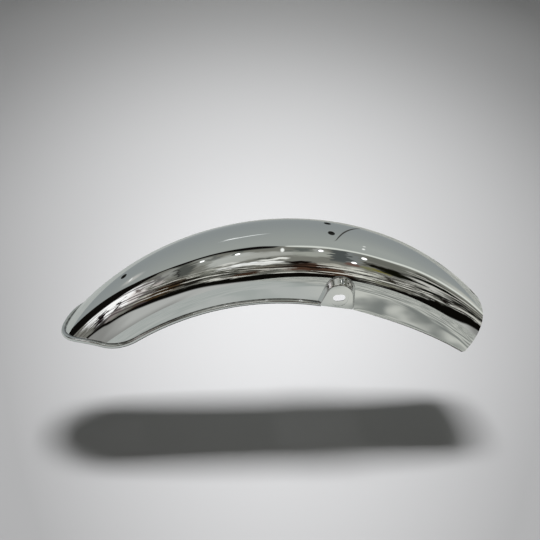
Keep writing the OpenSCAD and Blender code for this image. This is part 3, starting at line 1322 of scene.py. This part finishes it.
@dataclass
class Surroundings(NodeDesk):
    """The studio as the polished metal sees it: a grey roof, the room and a table."""

    roof_edge: tuple[Point, ...] = (
        (-80, 90), (-66, 74), (-60, 66.5), (-56, 59), (-52, 52.5), (-48, 46.5), (-44, 40),
        (-40, 33.5), (-36, 28), (-32, 24), (-28, 21), (-24, 19.5), (-20, 18.3), (-12, 15),
        (-4, 11.5), (0, 8), (6, 4), (16, 3), (32, 2.6), (40, 3.6), (48, 9.5), (56, 16.5),
        (64, 24), (70, 33), (80, 52))
    dark_rim: tuple[Point, ...] = (
        (-80, 34), (-66, 37), (-60, 36), (-56, 32.5), (-52, 28), (-48, 24), (-44, 17),
        (-40, 11.5), (-36, 6), (-32, 9), (-28, 7.5), (-24, 7), (-16, 8), (-8, 11), (0, 8),
        (5, 0), (10, 0), (80, 0))
    light_rim: tuple[Point, ...] = (
        (-80, 0), (2, 0), (6, 2.4), (16, 3.6), (30, 3.0), (44, 4.0), (60, 5.5), (80, 8))
    horizon: tuple[Point, ...] = (
        (-80, -8), (-64, -23), (-60, -30), (-56, -34), (-52, -38), (-44, -46.5), (-36, -54),
        (-28, -61.5), (-20, -67), (-12, -73.5), (-4, -80), (4, -84), (12, -85), (24, -85.5),
        (32, -83.5), (40, -80.5), (48, -75), (52, -70), (56, -64), (60, -58), (66, -48),
        (72, -35), (80, -20))
    band: tuple[Point, ...] = (
        (-80, 3), (-64, 3.5), (-52, 2.8), (-40, 4.6), (-28, 4.4), (-12, 5.0), (0, 6.5),
        (12, 8), (22, 6), (32, 3.5), (44, 6.0), (56, 9.0), (66, 9.5), (80, 9))
    @staticmethod
    def _plain(level: float) -> float:
        """The light that chrome shows as a display level from 0 to 255."""
        c = level / 255
        return (c / 12.92 if c < 0.04 else ((c + 0.055) / 1.055) ** 2.4) / 0.78

    def _shade(self, colour: tuple[int, int, int]) -> Colour:
        """The light that chrome shows as a display colour."""
        r, g, b = (self._plain(c) for c in colour)
        return (r, g, b, 1.0)

    def _curve(self, value: Socket, points: tuple[Point, ...], low: float,
               high: float) -> Socket:
        """A drawn line over u, from -80 to 80 degrees.

        Args:
            value: u in degrees.
            points: the line's points as (u, v).
            low: the least v that the line may have.
            high: the greatest v.

        Returns:
            The line's v at each u.
        """
        share = self._math("MULTIPLY_ADD", value, 1 / 160, 0.5)
        node = self.tree.nodes.new("ShaderNodeFloatCurve")
        line = node.mapping.curves[0]
        drawn = [((u + 80) / 160, (v - low) / (high - low)) for u, v in points]
        line.points[0].location, line.points[-1].location = drawn[0], drawn[-1]
        for place in drawn[1:-1]:
            line.points.new(*place)
        node.mapping.update()
        self.tree.links.new(share, node.inputs["Value"])
        return self._math("MULTIPLY_ADD", node.outputs["Value"], high - low, low)

    def _noise(self, place: Socket, scale: tuple[float, float], detail: float,
               turn: float = 0.0, shift: float = 0.0) -> Socket:
        """Even noise over the map of directions, stretched by two scales.

        Args:
            place: the map's coordinates.
            scale: scales along u and v.
            detail: how fine the noise goes.
            turn: turn of the noise in degrees.
            shift: sets one noise apart from another.

        Returns:
            A level round 0.5.
        """
        fit = self.tree.nodes.new("ShaderNodeMapping")
        fit.inputs["Location"].default_value = (shift, shift * 0.7, 0)
        fit.inputs["Rotation"].default_value = (0, 0, math.radians(turn))
        fit.inputs["Scale"].default_value = (*scale, 1)
        self.tree.links.new(place, fit.inputs["Vector"])
        node = self.tree.nodes.new("ShaderNodeTexNoise")
        node.noise_dimensions = "2D"
        node.inputs["Scale"].default_value = 1.0
        node.inputs["Detail"].default_value = detail
        self.tree.links.new(fit.outputs["Vector"], node.inputs["Vector"])
        return node.outputs["Fac"]

    def _hang(self, card: Card, place: Socket, below: Shade) -> Socket:
        """Lays one card over what is behind it.

        Args:
            card: the card.
            place: the direction in degrees.
            below: the colour behind it.

        Returns:
            The colour with the card.
        """
        fit = self.tree.nodes.new("ShaderNodeMapping")
        fit.vector_type = "TEXTURE"
        fit.inputs["Location"].default_value = (*card.at, 0)
        fit.inputs["Rotation"].default_value = (0, 0, math.radians(card.turn))
        fit.inputs["Scale"].default_value = (*card.half, 1)
        self.tree.links.new(place, fit.inputs["Vector"])
        far = self.tree.nodes.new("ShaderNodeVectorMath")
        if card.form is Form.ROUND:
            far.operation = "LENGTH"
            self.tree.links.new(fit.outputs["Vector"], far.inputs[0])
            reach = far.outputs["Value"]
        else:
            far.operation = "ABSOLUTE"
            self.tree.links.new(fit.outputs["Vector"], far.inputs[0])
            split = self.tree.nodes.new("ShaderNodeSeparateXYZ")
            self.tree.links.new(far.outputs["Vector"], split.inputs[0])
            reach = self._math("MAXIMUM", split.outputs[0], split.outputs[1])
        mask = self._fade(reach, 1 - card.soft, 1 + card.soft * 0.6, card.share, 0.0)
        colour = self._shade(card.colour)
        if card.colour[0] == 255:
            colour = (3.0, 3.0, 3.0, 1.0)
        return self._mix(mask, below, colour)

    def _place(self) -> Socket:
        """The direction as degrees from straight overhead, towards +X and +Y.

        Returns:
            The direction as a vector (u, v, 0).
        """
        coords = self.tree.nodes.new("ShaderNodeTexCoord")
        split = self.tree.nodes.new("ShaderNodeSeparateXYZ")
        self.tree.links.new(coords.outputs["Generated"], split.inputs[0])
        x, y, z = split.outputs
        tilt = self._math("MULTIPLY", self._math("ARCCOSINE", z), 180 / math.pi)
        flat = self._math("SQRT", self._math(
            "ADD", self._math("MULTIPLY", x, x), self._math("MULTIPLY", y, y)))
        scale = self._math("DIVIDE", tilt, self._math("MAXIMUM", flat, 1e-4))
        join = self.tree.nodes.new("ShaderNodeCombineXYZ")
        self.tree.links.new(self._math("MULTIPLY", x, scale), join.inputs[0])
        self.tree.links.new(self._math("MULTIPLY", y, scale), join.inputs[1])
        return join.outputs[0]

    def _stir(self, place: Socket, amount: float, scale: float) -> Socket:
        """Places moved about by slow noise, so that no card keeps a drawn edge.

        Args:
            place: the direction in degrees.
            amount: how far it may move.
            scale: scale of the noise.

        Returns:
            The moved direction.
        """
        node = self.tree.nodes.new("ShaderNodeTexNoise")
        node.noise_dimensions = "2D"
        node.inputs["Scale"].default_value = scale
        node.inputs["Detail"].default_value = 4.5
        self.tree.links.new(place, node.inputs["Vector"])
        shift = self.tree.nodes.new("ShaderNodeVectorMath")
        shift.operation = "SUBTRACT"
        self.tree.links.new(node.outputs["Color"], shift.inputs[0])
        shift.inputs[1].default_value = (0.5, 0.5, 0.5)
        grow = self.tree.nodes.new("ShaderNodeVectorMath")
        grow.operation = "MULTIPLY_ADD"
        self.tree.links.new(shift.outputs["Vector"], grow.inputs[0])
        grow.inputs[1].default_value = (amount, amount, 0)
        self.tree.links.new(place, grow.inputs[2])
        return grow.outputs["Vector"]

    def build(self) -> None:
        """Paints the studio into the world and sets it as the scene's."""
        world = bpy.data.worlds.new("studio_air")
        bpy.context.scene.world = world
        world.use_nodes = True
        self.tree = world.node_tree
        place = self._place()
        loose = self._stir(place, 10.0, 0.2)
        split = self.tree.nodes.new("ShaderNodeSeparateXYZ")
        self.tree.links.new(place, split.inputs[0])
        u, v = split.outputs[0], split.outputs[1]
        colour = self._room(loose, place)
        colour = self._table(colour, place, u, v)
        colour = self._roof(colour, place, u, v)
        for lamp in LAMPS:
            colour = self._hang(lamp, place, colour)
        back = self.tree.nodes["Background"]
        self.tree.links.new(colour, back.inputs["Color"])
        path = self.tree.nodes.new("ShaderNodeLightPath")
        dim = self._math("MULTIPLY_ADD", path.outputs["Is Diffuse Ray"], -0.55, 1.0)
        self.tree.links.new(dim, back.inputs["Strength"])
        world.cycles.sampling_method = "MANUAL"
        world.cycles.sample_map_resolution = 256

    def _room(self, loose: Socket, place: Socket) -> Socket:
        """The cluttered room between the roof and the table.

        Args:
            loose: the stirred direction.
            place: the direction itself.

        Returns:
            The room's colour.
        """
        colour = self._shade((112, 112, 105))
        for card in ROOM_CARDS:
            colour = self._hang(card, loose, colour)
        split = self.tree.nodes.new("ShaderNodeSeparateXYZ")
        self.tree.links.new(place, split.inputs[0])
        u, v = split.outputs[0], split.outputs[1]
        over = self._math("SUBTRACT", v, self._curve(u, self.horizon, -90, 0))
        under = self._math("SUBTRACT", v, self._curve(u, self.roof_edge, 0, 100))
        low = self._strips(u, over, (0.05, 0.30), 3.0)
        zone = self._math("MULTIPLY", self._fade(over, 44, 26), self._fade(u, -56, -40))
        colour = self._streak(colour, low, zone, 0.455, 0.435, (14, 11, 8), 0.95)
        colour = self._streak(colour, low, zone, 0.58, 0.60, (222, 221, 212), 0.85)
        fine = self._strips(u, over, (0.14, 0.75), 11.0)
        colour = self._streak(colour, fine, zone, 0.43, 0.40, (24, 19, 14), 0.85)
        side = self._strips(u, under, (0.03, 0.26), 5.0)
        left = self._math("MULTIPLY", self._fade(u, -38, -44), self._fade(under, -12, -22))
        colour = self._streak(colour, side, left, 0.45, 0.42, (70, 62, 64), 0.85)
        high = self._strips(u, under, (0.045, 0.17), 17.0)
        reach = self._math("MULTIPLY", self._fade(u, 44, 52), self._fade(under, -12, -18))
        colour = self._streak(colour, high, reach, 0.47, 0.45, (12, 11, 9), 0.95)
        return self._streak(colour, high, reach, 0.57, 0.59, (184, 183, 176), 0.85)

    def _strips(self, along: Socket, across: Socket, scale: Point,
                shift: float) -> Socket:
        """Noise drawn out into strips that follow a line of the room.

        Args:
            along: distance along the line.
            across: distance from the line.
            scale: scales along and across.
            shift: sets one noise apart from another.

        Returns:
            A level round 0.5.
        """
        join = self.tree.nodes.new("ShaderNodeCombineXYZ")
        self.tree.links.new(along, join.inputs[0])
        self.tree.links.new(across, join.inputs[1])
        return self._noise(join.outputs[0], scale, 5.0, shift=shift)

    def _streak(self, below: Socket, noise: Socket, zone: Socket, start: float, end: float,
                colour: tuple[int, int, int], share: float) -> Socket:
        """Lays a colour where noise passes a level, inside a zone.

        Args:
            below: the colour so far.
            noise: the level that is cut.
            zone: where the colour may lie.
            start: the noise level at which it begins.
            end: the level at which it is full.
            colour: what it is.
            share: how much of it shows.

        Returns:
            The colour with the streaks.
        """
        mask = self._math("MULTIPLY", self._fade(noise, start, end), zone)
        return self._mix(self._math("MULTIPLY", mask, share), below, self._shade(colour))

    def _table(self, below: Socket, place: Socket, u: Socket, v: Socket) -> Socket:
        """The dark line along the table's far edge, and the pale table top.

        Args:
            below: the room's colour.
            place: the direction in degrees.
            u: its part towards +X.
            v: its part towards +Y.

        Returns:
            The colour with the table.
        """
        ripple = self._noise(place, (0.10, 0.25), 5.0, shift=3.0)
        line = self._curve(u, self.horizon, -90, 0)
        width = self._curve(u, self.band, 0, 10)
        off = self._math("SUBTRACT", v, line)
        rough = self._math("MULTIPLY_ADD", ripple, 7.0, -3.5)
        above = self._math("SUBTRACT", self._math("ADD", off, rough), width)
        colour = self._mix(self._fade(above, 1.2, -1.2), below, self._shade((9, 8, 6)))
        under = self._math("ADD", off, width)
        cloud = self._noise(place, (0.035, 0.02), 0.6, turn=30, shift=7.0)
        top = self._mix(self._fade(cloud, 0.36, 0.64), self._shade((128, 128, 125)),
                        self._shade((168, 169, 166)))
        return self._mix(self._fade(under, 1.6, -1.8), colour, top)

    def _roof(self, below: Socket, place: Socket, u: Socket, v: Socket) -> Socket:
        """The wide grey roof with its dark and bright rims.

        Args:
            below: the colour so far.
            place: the direction in degrees.
            u: its part towards +X.
            v: its part towards +Y.

        Returns:
            The colour with the roof.
        """
        edge = self._curve(u, self.roof_edge, 0, 100)
        rim = self._curve(u, self.dark_rim, 0, 40)
        shine = self._curve(u, self.light_rim, 0, 10)
        off = self._math("SUBTRACT", v, edge)
        low = self._math("ADD", off, rim)
        dark = self._math("MULTIPLY", self._fade(low, -1.0, 3.0), self._fade(rim, 0.5, 2.5))
        colour = self._mix(dark, below, self._shade((12, 11, 9)))
        slope = self._fade(v, 20, 78)
        grey = self._mix(slope, self._shade((147, 151, 147)), self._shade((131, 136, 136)))
        for card in ROOF_CARDS:
            grey = self._hang(card, place, grey)
        colour = self._mix(self._fade(off, -0.9, 0.9), colour, grey)
        thin = self._math("DIVIDE", self._math("ABSOLUTE", off),
                          self._math("MAXIMUM", shine, 0.01))
        bright = self._math("MULTIPLY", self._fade(thin, 1.25, 0.35),
                            self._fade(shine, 0.3, 2.0))
        return self._mix(bright, colour, self._shade((205, 208, 201)))


@dataclass(frozen=True)
class Pool:
    """A soft oval on the floor, in metres, with its turn in degrees: a painted pool of light,
    or the painted shadow that the chrome sees.
    """

    at: Point
    half: Point
    turn: float = 0.0
    level: float = 1.0


@dataclass
class FloorPaint(NodeDesk):
    """The floor's pale paint with painted pools of light, and the tones that the chrome sees
    in it.
    """

    height: float = -0.143
    # Painted pools of light: the floor's colour is palest in their middles and fades towards a
    # grey floor level away from them.
    light_pools: tuple[Pool, ...] = (
        Pool((-0.021, -0.1964), (0.4806, 1.2898), -6.88, 0.1913),
        Pool((0.0329, 0.0801), (1.1182, 2.4215), -7.28, 0.5772),
        Pool((0.3525, 2.5178), (3.1254, 4.9847), -9.36, 1.5),
    )
    base: float = -0.7542
    least: float = 0.435
    cold: float = 1.02
    # Painted shadow: the dark oval under the part that the chrome sees in the floor.
    shade: Pool = Pool((0.0, 0.0), (0.30, 0.17))
    dark: Colour = (0.03, 0.03, 0.028, 1)
    calm: tuple[Colour, Colour] = ((0.42, 0.45, 0.43, 1), (0.50, 0.52, 0.50, 1))
    lively: tuple[Colour, Colour] = ((0.23, 0.245, 0.23, 1), (0.62, 0.63, 0.58, 1))

    def material(self) -> bpy.types.Material:
        """Builds the floor's material on Object coordinates.

        Returns:
            The material.
        """
        mat = bpy.data.materials.new("pale_floor")
        mat.use_nodes = True
        self.tree = mat.node_tree
        nodes, links = self.tree.nodes, self.tree.links
        shader = nodes["Principled BSDF"]
        shader.inputs["Roughness"].default_value = 0.9
        shader.inputs["Specular IOR Level"].default_value = 0.0
        place = nodes.new("ShaderNodeTexCoord").outputs["Object"]
        links.new(self._tone(place), shader.inputs["Base Color"])
        # For glossy and transmission rays the floor glows with its painted tones and painted
        # shadow in place of its own paint.
        path = nodes.new("ShaderNodeLightPath")
        either = self._math("MAXIMUM", path.outputs["Is Glossy Ray"],
                            path.outputs["Is Transmission Ray"])
        pale = nodes.new("ShaderNodeEmission")
        pale.inputs["Strength"].default_value = 1.0
        links.new(self._mirrored(place), pale.inputs["Color"])
        mix = nodes.new("ShaderNodeMixShader")
        links.new(either, mix.inputs[0])
        links.new(shader.outputs[0], mix.inputs[1])
        links.new(pale.outputs[0], mix.inputs[2])
        links.new(mix.outputs[0], nodes["Material Output"].inputs["Surface"])
        return mat

    def _reach(self, place: Socket, pool: Pool) -> Socket:
        """How far a place is from a pool's middle, as a share of its half size.

        Args:
            place: the floor's coordinates.
            pool: the oval.

        Returns:
            0 in the middle and 1 on the rim.
        """
        fit = self.tree.nodes.new("ShaderNodeMapping")
        fit.vector_type = "TEXTURE"
        fit.inputs["Location"].default_value = (*pool.at, self.height)
        fit.inputs["Rotation"].default_value = (0, 0, math.radians(pool.turn))
        fit.inputs["Scale"].default_value = (*pool.half, 1)
        far = self.tree.nodes.new("ShaderNodeVectorMath")
        far.operation = "LENGTH"
        self.tree.links.new(place, fit.inputs["Vector"])
        self.tree.links.new(fit.outputs["Vector"], far.inputs[0])
        return far.outputs["Value"]

    def _tone(self, place: Socket) -> Socket:
        """The floor's colour: painted pools of light laid one over another.

        Args:
            place: the floor's coordinates.

        Returns:
            The colour.
        """
        level = self.base
        for pool in self.light_pools:
            near = self._fade(self._reach(place, pool), 1.0, 0.0)
            level = self._math("ADD", self._math("MULTIPLY", near, pool.level), level)
        level = self._math("MAXIMUM", level, self.least)
        join = self.tree.nodes.new("ShaderNodeCombineColor")
        self.tree.links.new(level, join.inputs[0])
        self.tree.links.new(level, join.inputs[1])
        self.tree.links.new(self._math("MULTIPLY", level, self.cold), join.inputs[2])
        return join.outputs[0]

    def _mirrored(self, place: Socket) -> Socket:
        """The floor in the chrome: calm behind, lively ahead, with a painted shadow under the
        part.

        Args:
            place: the floor's coordinates.

        Returns:
            The colour.
        """
        cloud = self.tree.nodes.new("ShaderNodeTexNoise")
        cloud.inputs["Scale"].default_value = 13.0
        cloud.inputs["Detail"].default_value = 2.0
        split = self.tree.nodes.new("ShaderNodeSeparateXYZ")
        self.tree.links.new(place, cloud.inputs["Vector"])
        self.tree.links.new(place, split.inputs[0])
        puffs = self._fade(cloud.outputs["Fac"], 0.38, 0.62)
        top = self._mix(self._fade(split.outputs[0], 0.08, 0.20),
                        self._mix(puffs, *self.calm), self._mix(puffs, *self.lively))
        return self._mix(self._fade(self._reach(place, self.shade), 1.1, 0.75), top,
                         self.dark)


@dataclass
class Studio:
    """The floor, the soft light, the world and the camera."""

    floor_drop: float = 0.143
    camera_at: tuple[float, float, float] = (-0.158796, -1.032801, 0.602396)
    camera_turn: tuple[float, float, float] = (63.39456, -2.90418, -6.91286)
    lens: float = 66.377

    def build(self) -> None:
        """Lays the floor, hangs the lamps and sets the camera."""
        self._floor()
        self._lamps()
        Surroundings().build()
        self._camera()

    def _floor(self) -> None:
        """A wide pale floor under the part, palest in its middle, where pools of light are
        painted into its colour.
        """
        bpy.ops.mesh.primitive_plane_add(size=30.0, location=(0, 0, -self.floor_drop))
        floor = name_last("floor")
        settle(floor)
        floor.data.materials.append(FloorPaint(height=-self.floor_drop).material())

    def _lamps(self) -> None:
        """One large soft lamp straight overhead."""
        bpy.ops.object.light_add(type="AREA", location=(0.02, 0.10, 2.4))
        lamp = bpy.context.active_object
        lamp.name = "soft_lamp"
        lamp.data.shape = "RECTANGLE"
        lamp.data.size = 0.9
        lamp.data.size_y = 0.7
        lamp.data.energy = 60
        lamp.visible_glossy = False

    def _camera(self) -> None:
        """The camera at the photograph's place and angle."""
        bpy.ops.object.camera_add(location=self.camera_at,
                                  rotation=[math.radians(a) for a in self.camera_turn])
        camera = bpy.context.active_object
        camera.name = "camera"
        camera.data.lens = self.lens
        camera.data.sensor_width = 36.0
        bpy.context.scene.camera = camera
        bpy.context.scene.view_settings.view_transform = "Standard"


def join_all(parts: list[bpy.types.Object], name: str) -> bpy.types.Object:
    """Joins the pressed parts into the one-piece blade.

    Args:
        parts: the closed parts.
        name: the joined object's name.

    Returns:
        The joined object.
    """
    deselect()
    for o in parts:
        o.select_set(True)
    bpy.context.view_layer.objects.active = parts[0]
    bpy.ops.object.join()
    return name_last(name)


@dataclass
class Mudguard:
    """The one-piece blade: sheet, bead, pads and holes made and joined, then dressed."""

    plan: Plan
    holes: tuple[BoltHole, ...] = (
        BoltHole(-33.2), BoltHole(46.0), BoltHole(10.2, -0.0135), BoltHole(10.2, 0.0135))
    smooth_up_to: float = 32.0
    obj: bpy.types.Object = field(init=False, default=None)

    def build(self) -> bpy.types.Object:
        """Makes the parts in order, drills and trims the sheet and joins all.

        Returns:
            The joined blade.
        """
        sheet = BladeSheet(self.plan)
        sheet.build()
        bead = EdgeBead(self.plan)
        bead.build(sheet.obj)
        sheet.thicken()
        pads = [FixingPad(self.plan, side) for side in Side]
        for pad in pads:
            cut_with(sheet.obj, pad.hollow_cutter())
            pad.build()
        for hole in self.holes:
            cut_with(sheet.obj, hole.cutter(self.plan))
        cut_with(sheet.obj, NoseTrim(self.plan).cutter())
        self.obj = join_all([sheet.obj, bead.obj] + [pad.obj for pad in pads],
                            "chromed_blade")
        pick(self.obj)
        bpy.ops.object.shade_smooth_by_angle(angle=math.radians(self.smooth_up_to))
        for pad in pads:
            pad.flatten(self.obj)
        return self.obj

    def dress(self) -> None:
        """Gives the chrome and the dull inside, darkened with painted shade, and drops the
        working layers.
        """
        mesh = self.obj.data
        mesh.materials.clear()
        mesh.materials.append(ChromePlate().material())
        mesh.materials.append(DullShadedInside().material())
        DullShadedInside.dress_inner(self.obj, self.plan, 1)
        for layer in ("station", "base", "inward", "place"):
            if layer in mesh.attributes:
                mesh.attributes.remove(mesh.attributes[layer])


def main() -> None:
    """Builds the blade, dresses it and sets the stage."""
    logging.basicConfig(level=logging.INFO, format="%(name)s: %(message)s")
    guard = Mudguard(Plan())
    blade = guard.build()
    guard.dress()
    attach(blade, "root")
    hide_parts(NODE)
    log.info("%s has %d faces", blade.name, len(blade.data.polygons))
    Studio().build()
    deselect()


if __name__ == "__main__":
    main()
